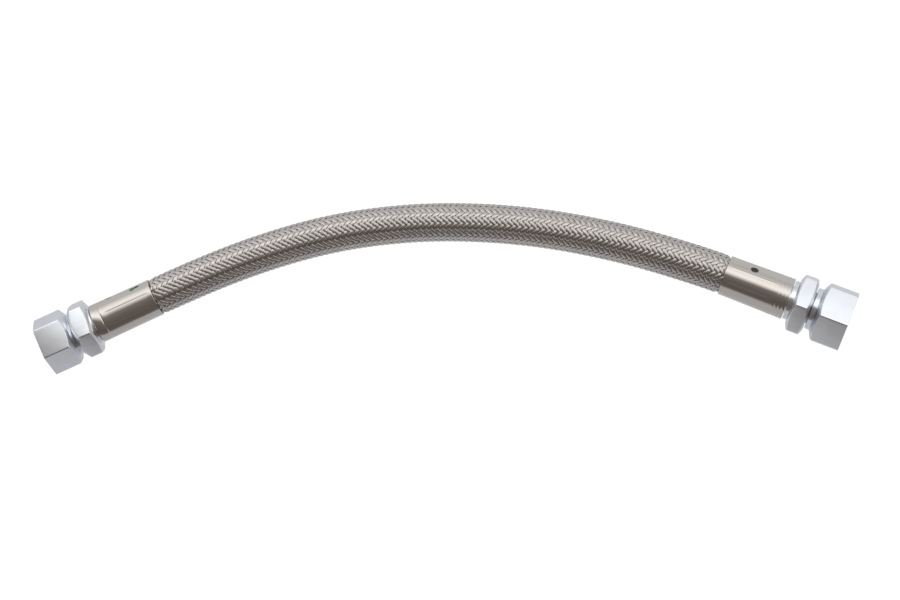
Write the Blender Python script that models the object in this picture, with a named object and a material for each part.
"""Braided fuel line: a short hose with a woven steel sleeve, crimped at each end on to a turned stem
that carries a captive swivel nut. It lies on a flat surface as it comes to rest: on the lowest corners of
the two stem hexagons and on the middle of the hose.

Lengths are in metres, +Z is up and +X runs along the chord from the smaller nut to the larger one.
Along each fitting, distances are measured from the front face of its nut towards the hose."""

import math

import bmesh
import bpy
import numpy as np
from mathutils import Matrix, Vector

# Clearance between two pieces that touch or run on each other, on each side
FIT = 0.0003

# Hose: rubber liner inside a woven steel sleeve, a little fuller towards the larger fitting
HOSE_OUTER_LEFT = 0.0143
HOSE_OUTER_RIGHT = 0.0149
BRAID_WALL = 0.0011
LINER_BORE = 0.0080

# Hose where the ferrules squeeze it on to the stems
CRIMPED_BRAID_WALL = 0.00075
MOUTH_LIP = 0.0010
MOUTH_FLARE = 0.0022

# Length of the free hose between the mouths of the ferrules, and the bend that it lies in: each point as
# shares of that length along the chord, across it and upwards
HOSE_LENGTH = 0.2220
BEND = (
    (-0.4916, -0.0127, 0.045405),
    (-0.4674, -0.0017, 0.044279),
    (-0.4158, 0.0208, 0.041892),
    (-0.3560, 0.0449, 0.039550),
    (-0.2956, 0.0660, 0.037523),
    (-0.2271, 0.0858, 0.035676),
    (-0.1586, 0.1003, 0.034279),
    (-0.0897, 0.1095, 0.033378),
    (-0.0212, 0.1140, 0.033018),
    (0.0469, 0.1138, 0.033108),
    (0.1153, 0.1097, 0.033198),
    (0.1829, 0.1017, 0.033288),
    (0.2510, 0.0896, 0.033694),
    (0.3186, 0.0741, 0.035360),
    (0.3859, 0.0550, 0.038198),
    (0.4364, 0.0389, 0.041216),
    (0.4778, 0.0243, 0.044369),
)
ROUTE = [tuple(HOSE_LENGTH * part for part in point) for point in BEND]
# Direction of each fitting in plan, against the chord, and how much its nut end is raised
LEFT_HEADING = math.radians(24.5)
LEFT_RISE = math.radians(2.4)
RIGHT_HEADING = math.radians(21.1)
RIGHT_RISE = math.radians(4.7)

# Stems: bore, cone seat, shoulder that the nut pulls on, and barbed tail
STEM_BORE = 0.0052
CONE_HALF_ANGLE = math.radians(12.0)
SHOULDER_LENGTH = 0.0015
SEAL_SECTION = 0.0014
SEAL_SETBACK = 0.0011
TAIL_OUTER = 0.0070
TAIL_LENGTH = 0.0190
BARB_DEPTH = 0.0004
BARB_COUNT = 4
HEX_FACE_OUTER = 0.0172
FERRULE_NECK = 0.0106
FERRULE_STOP = 0.0118
STOP_LENGTH = 0.0012

# Nuts: rolled lip behind the shoulder of the stem
ROLLED_LIP = 0.0009
THREAD_PITCH = 0.0015
THREAD_DEPTH_RATIO = 0.54127
ENTRY_CHAMFER = 0.0009
THREAD_RUN_OUT = 0.0030

# Ferrules: end lip hooked behind the hexagon, and rolled rings
FERRULE_LIP = 0.0010
RING_DEPTH = 0.00018
RING_WIDTH = 0.0008

# Left fitting
LEFT_NUT_FLATS = 0.0199
LEFT_NUT_CORNER_LENGTH = 0.0102
LEFT_NUT_CHAMFER = math.radians(33.0)
LEFT_NUT_LENGTH = 0.0130
LEFT_NUT_ROLL = math.radians(7.0)
LEFT_THREAD = 0.0160
LEFT_NECK_OUTER = 0.0152
LEFT_CONE_OUTER = 0.0123
LEFT_CONE_LENGTH = 0.0040
LEFT_SHOULDER_OUTER = 0.0129
LEFT_SHANK_OUTER = 0.0112
LEFT_HEX_FLATS = 0.0200
LEFT_HEX_LENGTH = 0.00765
LEFT_HEX_FRONT_CHAMFER = math.radians(36.0)
LEFT_HEX_BACK_CHAMFER = math.radians(24.0)
LEFT_HEX_ROLL = math.radians(15.2)
LEFT_COLLAR_OUTER = 0.0138
LEFT_COLLAR_LENGTH = 0.00055
LEFT_FERRULE_LENGTH = 0.0248
LEFT_FERRULE_BACK_OUTER = 0.0149
LEFT_FERRULE_MOUTH_OUTER = 0.0145
LEFT_FERRULE_WALL = 0.0006
LEFT_RINGS = (0.0037,)

# Right fitting, one thread size larger
RIGHT_NUT_FLATS = 0.0215
RIGHT_NUT_CORNER_LENGTH = 0.0104
RIGHT_NUT_CHAMFER = math.radians(27.0)
RIGHT_NUT_LENGTH = 0.0145
RIGHT_NUT_ROLL = math.radians(21.8)
RIGHT_THREAD = 0.0180
RIGHT_NECK_OUTER = 0.0160
RIGHT_CONE_OUTER = 0.0134
RIGHT_CONE_LENGTH = 0.0045
RIGHT_SHOULDER_OUTER = 0.0138
RIGHT_SHANK_OUTER = 0.0121
RIGHT_HEX_FLATS = 0.0213
RIGHT_HEX_LENGTH = 0.0069
RIGHT_HEX_FRONT_CHAMFER = math.radians(20.0)
RIGHT_HEX_BACK_CHAMFER = math.radians(24.0)
RIGHT_HEX_ROLL = math.radians(24.0)
RIGHT_COLLAR_OUTER = 0.0150
RIGHT_COLLAR_LENGTH = 0.0016
RIGHT_FERRULE_LENGTH = 0.0252
RIGHT_FERRULE_BACK_OUTER = 0.0159
RIGHT_FERRULE_MOUTH_OUTER = 0.0152
RIGHT_FERRULE_WALL = 0.0007
RIGHT_RINGS = (0.0014, 0.0028, 0.0042)

# Facets
TURNED_SEGMENTS = 36
HOSE_SEGMENTS = 24
LINER_SEGMENTS = 16
SEAL_SEGMENTS = 24
SEAL_SECTION_SEGMENTS = 8
HOSE_STEP = 0.0100
SHARP_ANGLE = math.radians(35.0)


class Fitting:
    """The sizes of one end, and the places along its axis that follow from them."""

    def __init__(self, name, side, **sizes):
        self.name = name
        self.side = side
        for key, size in sizes.items():
            setattr(self, key, size)
        self.thread_bore = self.thread - 2 * THREAD_DEPTH_RATIO * THREAD_PITCH
        self.hex_start = self.nut_length + FIT
        self.hex_end = self.hex_start + self.hex_length
        self.lip_start = self.nut_length - ROLLED_LIP
        self.shoulder_end = self.lip_start - FIT
        self.shoulder_start = self.shoulder_end - SHOULDER_LENGTH
        self.cone_tip = self.shoulder_start - self.cone_length
        self.collar_end = self.hex_end + self.collar_length
        self.ferrule_start = self.collar_end + FIT
        self.ferrule_end = self.ferrule_start + self.ferrule_length
        self.stop_start = self.ferrule_start + FERRULE_LIP + FIT
        self.stop_end = self.stop_start + STOP_LENGTH
        self.tail_end = self.stop_end + TAIL_LENGTH
        self.hose_start = self.stop_end + FIT
        self.crimped_outer = self.ferrule_mouth_outer - 2 * (self.ferrule_wall + FIT)

    def axis(self):
        """Unit vector from the front of the nut towards the hose."""
        level = math.cos(self.rise)
        along = -self.side * math.cos(self.heading) * level
        return Vector((along, math.sin(self.heading) * level, -math.sin(self.rise)))

    def placement(self):
        """World matrix of the fitting: local +X along the axis to the hose, local +Z upwards."""
        x_axis = self.axis()
        z_axis = (Vector((0, 0, 1)) - x_axis * x_axis.z).normalized()
        y_axis = z_axis.cross(x_axis)
        mouth = Vector(ROUTE[0] if self.side < 0 else ROUTE[-1])
        matrix = Matrix((x_axis, y_axis, z_axis)).transposed().to_4x4()
        matrix.translation = mouth - x_axis * self.ferrule_end
        return matrix

    def roll_turn(self, roll):
        """Turn about local +X that leans a flat from straight up by roll, to the outside of the bend."""
        return self.side * roll


def left_end():
    return Fitting(
        name="left",
        side=-1,
        nut_flats=LEFT_NUT_FLATS,
        nut_corner_length=LEFT_NUT_CORNER_LENGTH,
        nut_chamfer=LEFT_NUT_CHAMFER,
        nut_length=LEFT_NUT_LENGTH,
        nut_roll=LEFT_NUT_ROLL,
        thread=LEFT_THREAD,
        neck_outer=LEFT_NECK_OUTER,
        cone_outer=LEFT_CONE_OUTER,
        cone_length=LEFT_CONE_LENGTH,
        shoulder_outer=LEFT_SHOULDER_OUTER,
        shank_outer=LEFT_SHANK_OUTER,
        hex_flats=LEFT_HEX_FLATS,
        hex_length=LEFT_HEX_LENGTH,
        hex_front_chamfer=LEFT_HEX_FRONT_CHAMFER,
        hex_back_chamfer=LEFT_HEX_BACK_CHAMFER,
        hex_roll=LEFT_HEX_ROLL,
        collar_outer=LEFT_COLLAR_OUTER,
        collar_length=LEFT_COLLAR_LENGTH,
        ferrule_length=LEFT_FERRULE_LENGTH,
        ferrule_back_outer=LEFT_FERRULE_BACK_OUTER,
        ferrule_mouth_outer=LEFT_FERRULE_MOUTH_OUTER,
        ferrule_wall=LEFT_FERRULE_WALL,
        rings=LEFT_RINGS,
        heading=LEFT_HEADING,
        rise=LEFT_RISE,
    )


def right_end():
    return Fitting(
        name="right",
        side=1,
        nut_flats=RIGHT_NUT_FLATS,
        nut_corner_length=RIGHT_NUT_CORNER_LENGTH,
        nut_chamfer=RIGHT_NUT_CHAMFER,
        nut_length=RIGHT_NUT_LENGTH,
        nut_roll=RIGHT_NUT_ROLL,
        thread=RIGHT_THREAD,
        neck_outer=RIGHT_NECK_OUTER,
        cone_outer=RIGHT_CONE_OUTER,
        cone_length=RIGHT_CONE_LENGTH,
        shoulder_outer=RIGHT_SHOULDER_OUTER,
        shank_outer=RIGHT_SHANK_OUTER,
        hex_flats=RIGHT_HEX_FLATS,
        hex_length=RIGHT_HEX_LENGTH,
        hex_front_chamfer=RIGHT_HEX_FRONT_CHAMFER,
        hex_back_chamfer=RIGHT_HEX_BACK_CHAMFER,
        hex_roll=RIGHT_HEX_ROLL,
        collar_outer=RIGHT_COLLAR_OUTER,
        collar_length=RIGHT_COLLAR_LENGTH,
        ferrule_length=RIGHT_FERRULE_LENGTH,
        ferrule_back_outer=RIGHT_FERRULE_BACK_OUTER,
        ferrule_mouth_outer=RIGHT_FERRULE_MOUTH_OUTER,
        ferrule_wall=RIGHT_FERRULE_WALL,
        rings=RIGHT_RINGS,
        heading=RIGHT_HEADING,
        rise=RIGHT_RISE,
    )


def clear_scene():
    for item in list(bpy.data.objects):
        bpy.data.objects.remove(item, do_unlink=True)


def make_material(name, colour, metallic, roughness):
    material = bpy.data.materials.new(name)
    material.use_nodes = True
    shader = material.node_tree.nodes["Principled BSDF"]
    shader.inputs["Base Color"].default_value = (*colour, 1.0)
    shader.inputs["Metallic"].default_value = metallic
    shader.inputs["Roughness"].default_value = roughness
    material.diffuse_color = (*colour, 1.0)
    return material


def add_object(name, mesh, material=None, parent=None):
    thing = bpy.data.objects.new(name, mesh)
    bpy.context.collection.objects.link(thing)
    if material is not None:
        mesh.materials.append(material)
    thing.parent = parent
    return thing


def closed_mesh(name, rings):
    """Mesh of rings of points, each joined to the next one and the last to the first."""
    shape = bmesh.new()
    rows = [[shape.verts.new(point) for point in ring] for ring in rings]
    for row, after in zip(rows, rows[1:] + rows[:1]):
        for i in range(len(row)):
            j = (i + 1) % len(row)
            shape.faces.new((row[i], row[j], after[j], after[i]))
    bmesh.ops.recalc_face_normals(shape, faces=shape.faces)
    mesh = bpy.data.meshes.new(name)
    shape.to_mesh(mesh)
    shape.free()
    mesh.shade_smooth()
    mesh.set_sharp_from_angle(angle=SHARP_ANGLE)
    return mesh


def turned_mesh(name, profile, segments):
    """Ring turned about local X from a closed profile of (distance along X, radius)."""
    rings = []
    for along, radius in profile:
        ring = []
        for i in range(segments):
            turn = math.tau * i / segments
            ring.append((along, radius * math.cos(turn), radius * math.sin(turn)))
        rings.append(ring)
    return closed_mesh(name, rings)


def corner_radius(flats):
    return flats / 2 / math.cos(math.pi / 6)


def hexagon_cutter(name, flats, start, end, parent):
    """Ring with a hexagonal hole, one flat of the hole facing local +Z: it mills the flats."""
    outside = 2 * corner_radius(flats)
    rings = []
    for along, radius in (
        (start, outside),
        (end, outside),
        (end, corner_radius(flats)),
        (start, corner_radius(flats)),
    ):
        ring = []
        for i in range(6):
            turn = math.tau * i / 6
            ring.append((along, radius * math.cos(turn), radius * math.sin(turn)))
        rings.append(ring)
    cutter = add_object(name, closed_mesh(name, rings), parent=parent)
    cutter.hide_render = True
    cutter.display_type = "WIRE"
    return cutter


def mill_flats(thing, cutter):
    cut = thing.modifiers.new("flats", "BOOLEAN")
    cut.operation = "DIFFERENCE"
    cut.solver = "EXACT"
    cut.object = cutter


def nut_profile(end):
    corner = corner_radius(end.nut_flats)
    neck = end.neck_outer / 2
    chamfer_end = end.nut_corner_length + (corner - neck) * math.tan(end.nut_chamfer)
    bore = end.thread_bore / 2
    thread_end = end.shoulder_start - THREAD_RUN_OUT / 2
    pocket = end.shoulder_outer / 2 + FIT
    lip_bore = end.shank_outer / 2 + FIT
    rounding = ROLLED_LIP / 3
    return [
        (0.0, end.thread / 2),
        (0.0, corner),
        (end.nut_corner_length, corner),
        (chamfer_end, neck),
        (end.nut_length - rounding, neck),
        (end.nut_length, neck - rounding),
        (end.nut_length, lip_bore),
        (end.lip_start, lip_bore),
        (end.lip_start, pocket),
        (thread_end, pocket),
        (thread_end - (bore - pocket), bore),
        (ENTRY_CHAMFER, bore),
    ]


def make_nut(end, parent, material):
    """Captive swivel nut: threaded socket in front, lip rolled in behind the shoulder of the stem."""
    name = f"{end.name}_swivel_nut"
    nut = add_object(name, turned_mesh(name, nut_profile(end), TURNED_SEGMENTS), material, parent)
    nut.rotation_euler.x = end.roll_turn(end.nut_roll)
    margin = end.nut_flats / 10
    cutter = hexagon_cutter(f"{name}_flats", end.nut_flats, -margin, end.nut_length + margin, nut)
    mill_flats(nut, cutter)
    return nut


def seal_centre(end):
    """(distance along the axis, radius) of the middle of the seal ring in its groove."""
    along = end.cone_tip + SEAL_SETBACK + SEAL_SECTION / 2
    on_cone = end.cone_outer / 2 - (end.shoulder_start - along) * math.tan(CONE_HALF_ANGLE)
    return along, on_cone - SEAL_SECTION / 2


def stem_profile(end):
    """Turned profile of the stem: cone seat, shoulder, shank, hexagon, collar, ferrule neck, barbed tail."""
    bore = STEM_BORE / 2
    slope = math.tan(CONE_HALF_ANGLE)
    seat = end.cone_outer / 2
    tip = seat - end.cone_length * slope
    seal_along, seal_radius = seal_centre(end)
    groove_half = SEAL_SECTION / 2 + FIT
    groove_start = seal_along - groove_half
    groove_end = seal_along + groove_half
    groove_floor = seal_radius - SEAL_SECTION / 2 - FIT
    corner = corner_radius(end.hex_flats)
    face = HEX_FACE_OUTER / 2
    front_edge = end.hex_start + (corner - face) * math.tan(end.hex_front_chamfer)
    back_edge = end.hex_end - (corner - face) * math.tan(end.hex_back_chamfer)
    collar = end.collar_outer / 2
    profile = [
        (end.cone_tip, bore),
        (end.cone_tip, tip),
        (groove_start, tip + (groove_start - end.cone_tip) * slope),
        (groove_start, groove_floor),
        (groove_end, groove_floor),
        (groove_end, tip + (groove_end - end.cone_tip) * slope),
        (end.shoulder_start, seat),
        (end.shoulder_start, end.shoulder_outer / 2),
        (end.shoulder_end, end.shoulder_outer / 2),
        (end.shoulder_end, end.shank_outer / 2),
        (end.hex_start, end.shank_outer / 2),
        (end.hex_start, face),
        (front_edge, corner),
        (back_edge, corner),
        (end.hex_end, face),
        (end.hex_end, collar),
        (end.collar_end, collar),
        (end.collar_end, FERRULE_NECK / 2),
        (end.stop_start, FERRULE_NECK / 2),
        (end.stop_start, FERRULE_STOP / 2),
        (end.stop_end, FERRULE_STOP / 2),
        (end.stop_end, TAIL_OUTER / 2 - BARB_DEPTH),
    ]
    pitch = TAIL_LENGTH / (BARB_COUNT + 1)
    for i in range(BARB_COUNT):
        crest = end.stop_end + pitch * (i + 1)
        profile.append((crest, TAIL_OUTER / 2))
        profile.append((crest + BARB_DEPTH, TAIL_OUTER / 2 - BARB_DEPTH))
    profile.append((end.tail_end, TAIL_OUTER / 2 - 2 * BARB_DEPTH))
    profile.append((end.tail_end, bore))
    return profile


def make_stem(end, parent, material):
    """Turned stem, bored right through, with its fixed hexagon."""
    name = f"{end.name}_hose_stem"
    stem = add_object(name, turned_mesh(name, stem_profile(end), TURNED_SEGMENTS), material, parent)
    stem.rotation_euler.x = end.roll_turn(end.hex_roll)
    margin = FIT / 2
    start = end.hex_start - margin
    last = end.hex_end + margin
    cutter = hexagon_cutter(f"{name}_flats", end.hex_flats, start, last, stem)
    mill_flats(stem, cutter)
    return stem


def make_seal(end, parent, material):
    """Seal ring in the groove of the cone."""
    name = f"{end.name}_seal_ring"
    along, radius = seal_centre(end)
    profile = []
    for i in range(SEAL_SECTION_SEGMENTS):
        turn = math.tau * i / SEAL_SECTION_SEGMENTS
        offset = SEAL_SECTION / 2
        profile.append((along + offset * math.cos(turn), radius + offset * math.sin(turn)))
    return add_object(name, turned_mesh(name, profile, SEAL_SEGMENTS), material, parent)


def ferrule_radius(end, along):
    """Outer radius of the ferrule, which tapers evenly from its back to its mouth."""
    share = (along - end.ferrule_start) / end.ferrule_length
    return (end.ferrule_back_outer * (1 - share) + end.ferrule_mouth_outer * share) / 2


def make_ferrule(end, parent, material):
    """Crimped sleeve with a lip hooked into the neck of the stem and rolled rings near its back."""
    name = f"{end.name}_ferrule"
    start = end.ferrule_start
    last = end.ferrule_end
    edge = FERRULE_LIP / 4
    profile = [(start, FERRULE_NECK / 2 + FIT), (start, ferrule_radius(end, start) - edge)]
    profile.append((start + edge, ferrule_radius(end, start + edge)))
    for ring in end.rings:
        for offset, depth in ((-RING_WIDTH / 2, 0.0), (0.0, RING_DEPTH), (RING_WIDTH / 2, 0.0)):
            along = start + ring + offset
            profile.append((along, ferrule_radius(end, along) - depth))
    bore = end.ferrule_mouth_outer / 2 - end.ferrule_wall
    profile.append((last - edge, ferrule_radius(end, last - edge)))
    profile.append((last, ferrule_radius(end, last) - edge))
    profile.append((last, bore))
    profile.append((start + FERRULE_LIP, bore))
    profile.append((start + FERRULE_LIP, FERRULE_NECK / 2 + FIT))
    return add_object(name, turned_mesh(name, profile, TURNED_SEGMENTS), material, parent)


def smooth_curve(points, first_tangent, last_tangent):
    """Cubic curve through the points with the given end directions: returns (length, position at length)."""
    points = np.array(points, float)
    knots = np.concatenate([[0.0], np.cumsum(np.linalg.norm(np.diff(points, axis=0), axis=1))])
    steps = np.diff(knots)
    count = len(points)
    matrix = np.zeros((count, count))
    right = np.zeros((count, 3))
    matrix[0, 0] = matrix[-1, -1] = 1.0
    right[0], right[-1] = first_tangent, last_tangent
    chords = np.diff(points, axis=0) / steps[:, None]
    for i in range(1, count - 1):
        matrix[i, i - 1] = steps[i]
        matrix[i, i] = 2 * (steps[i - 1] + steps[i])
        matrix[i, i + 1] = steps[i - 1]
        right[i] = 3 * (steps[i] * chords[i - 1] + steps[i - 1] * chords[i])
    slopes = np.linalg.solve(matrix, right)

    def at(along):
        i = int(np.clip(np.searchsorted(knots, along) - 1, 0, count - 2))
        share = (along - knots[i]) / steps[i]
        rest = 1 - share
        place = (1 + 2 * share) * rest**2 * points[i] + share**2 * (3 - 2 * share) * points[i + 1]
        pull = share * rest**2 * slopes[i] - share**2 * rest * slopes[i + 1]
        return place + pull * steps[i]

    return knots[-1], at


def hose_stations(left, right):
    """Places along the hose: (point, share of the free length, fitting whose ferrule holds it or None)."""
    length, at = smooth_curve(ROUTE, left.axis(), -right.axis())
    stations = []
    for end, order in ((left, 1), (right, -1)):
        matrix = end.placement()
        inside = []
        for along in (end.hose_start, (end.hose_start + end.ferrule_end) / 2, end.ferrule_end - MOUTH_LIP):
            point = matrix @ Vector((along, 0, 0))
            share = 0.0 if end is left else 1.0
            inside.append((np.array(point), share, end))
        if order > 0:
            stations += inside
            stations.append((at(MOUTH_FLARE), MOUTH_FLARE / length, None))
            count = round((length - 2 * MOUTH_FLARE) / HOSE_STEP)
            for i in range(1, count):
                along = MOUTH_FLARE + (length - 2 * MOUTH_FLARE) * i / count
                stations.append((at(along), along / length, None))
            stations.append((at(length - MOUTH_FLARE), 1 - MOUTH_FLARE / length, None))
        else:
            stations += inside[::-1]
    return stations


def swept_tube(name, stations, radii, segments):
    """Hollow tube along the stations, with (inner, outer) radii for each, square to its path."""
    points = np.array([station[0] for station in stations])
    tangents = np.gradient(points, axis=0)
    tangents[0] = points[1] - points[0]
    tangents[-1] = points[-1] - points[-2]
    tangents /= np.linalg.norm(tangents, axis=1)[:, None]
    outer_rings = []
    inner_rings = []
    for point, tangent, (inner, outer) in zip(points, tangents, radii):
        sideways = np.cross((0.0, 0.0, 1.0), tangent)
        sideways /= np.linalg.norm(sideways)
        upwards = np.cross(tangent, sideways)
        for rings, radius in ((outer_rings, outer), (inner_rings, inner)):
            ring = []
            for i in range(segments):
                turn = math.tau * (i + 0.5) / segments
                ring.append(point + radius * (math.cos(turn) * sideways + math.sin(turn) * upwards))
            rings.append(ring)
    return closed_mesh(name, outer_rings + inner_rings[::-1])


def braid_radii(share, end):
    """(inner, outer) radius of the sleeve at a share of the free length, or inside a ferrule."""
    if end is not None:
        outer = end.crimped_outer / 2
        return outer - CRIMPED_BRAID_WALL, outer
    outer = (HOSE_OUTER_LEFT * (1 - share) + HOSE_OUTER_RIGHT * share) / 2
    return outer - BRAID_WALL, outer


def liner_radii(share, end):
    """(inner, outer) radius of the liner, which fills the sleeve and is gripped on the stem's tail."""
    outer = braid_radii(share, end)[0] - FIT
    if end is not None:
        return TAIL_OUTER / 2 + FIT, outer
    return LINER_BORE / 2, outer


def make_hose(left, right, parent, steel, rubber):
    stations = hose_stations(left, right)
    braid = [braid_radii(share, end) for point, share, end in stations]
    liner = [liner_radii(share, end) for point, share, end in stations]
    add_object("braided_sleeve", swept_tube("braided_sleeve", stations, braid, HOSE_SEGMENTS), steel, parent)
    add_object("liner_tube", swept_tube("liner_tube", stations, liner, LINER_SEGMENTS), rubber, parent)


def make_fitting(end, origin):
    frame = bpy.data.objects.new(f"{end.name}_fitting", None)
    bpy.context.collection.objects.link(frame)
    frame.parent = origin
    frame.matrix_local = end.placement()
    chrome = make_material(f"{end.name}_nut_chrome", (0.80, 0.82, 0.84), 1.0, 0.12)
    plated = make_material(f"{end.name}_stem_chrome", (0.78, 0.80, 0.82), 1.0, 0.15)
    nickel = make_material(f"{end.name}_ferrule_nickel", (0.72, 0.68, 0.62), 1.0, 0.22)
    rubber = make_material(f"{end.name}_seal_rubber", (0.02, 0.02, 0.02), 0.0, 0.60)
    make_stem(end, frame, plated)
    make_seal(end, frame, rubber)
    make_nut(end, frame, chrome)
    make_ferrule(end, frame, nickel)


def lay_on_surface(origin):
    """Moves the whole object so that it stands on z = 0 with its box centred on the origin."""
    bpy.context.view_layer.update()
    graph = bpy.context.evaluated_depsgraph_get()
    corners = []
    for thing in bpy.data.objects:
        if thing.type == "MESH" and not thing.hide_render:
            shape = thing.evaluated_get(graph)
            corners += [thing.matrix_world @ vertex.co for vertex in shape.to_mesh().vertices]
            shape.to_mesh_clear()
    low = [min(corner[i] for corner in corners) for i in range(3)]
    high = [max(corner[i] for corner in corners) for i in range(3)]
    origin.location = (-(low[0] + high[0]) / 2, -(low[1] + high[1]) / 2, -low[2])
    bpy.context.view_layer.update()


def main():
    clear_scene()
    origin = bpy.data.objects.new("fuel_line_origin", None)
    bpy.context.collection.objects.link(origin)
    left = left_end()
    right = right_end()
    steel = make_material("braid_steel", (0.50, 0.47, 0.44), 1.0, 0.35)
    rubber = make_material("liner_rubber", (0.03, 0.03, 0.03), 0.0, 0.55)
    make_hose(left, right, origin, steel, rubber)
    make_fitting(left, origin)
    make_fitting(right, origin)
    lay_on_surface(origin)


main()
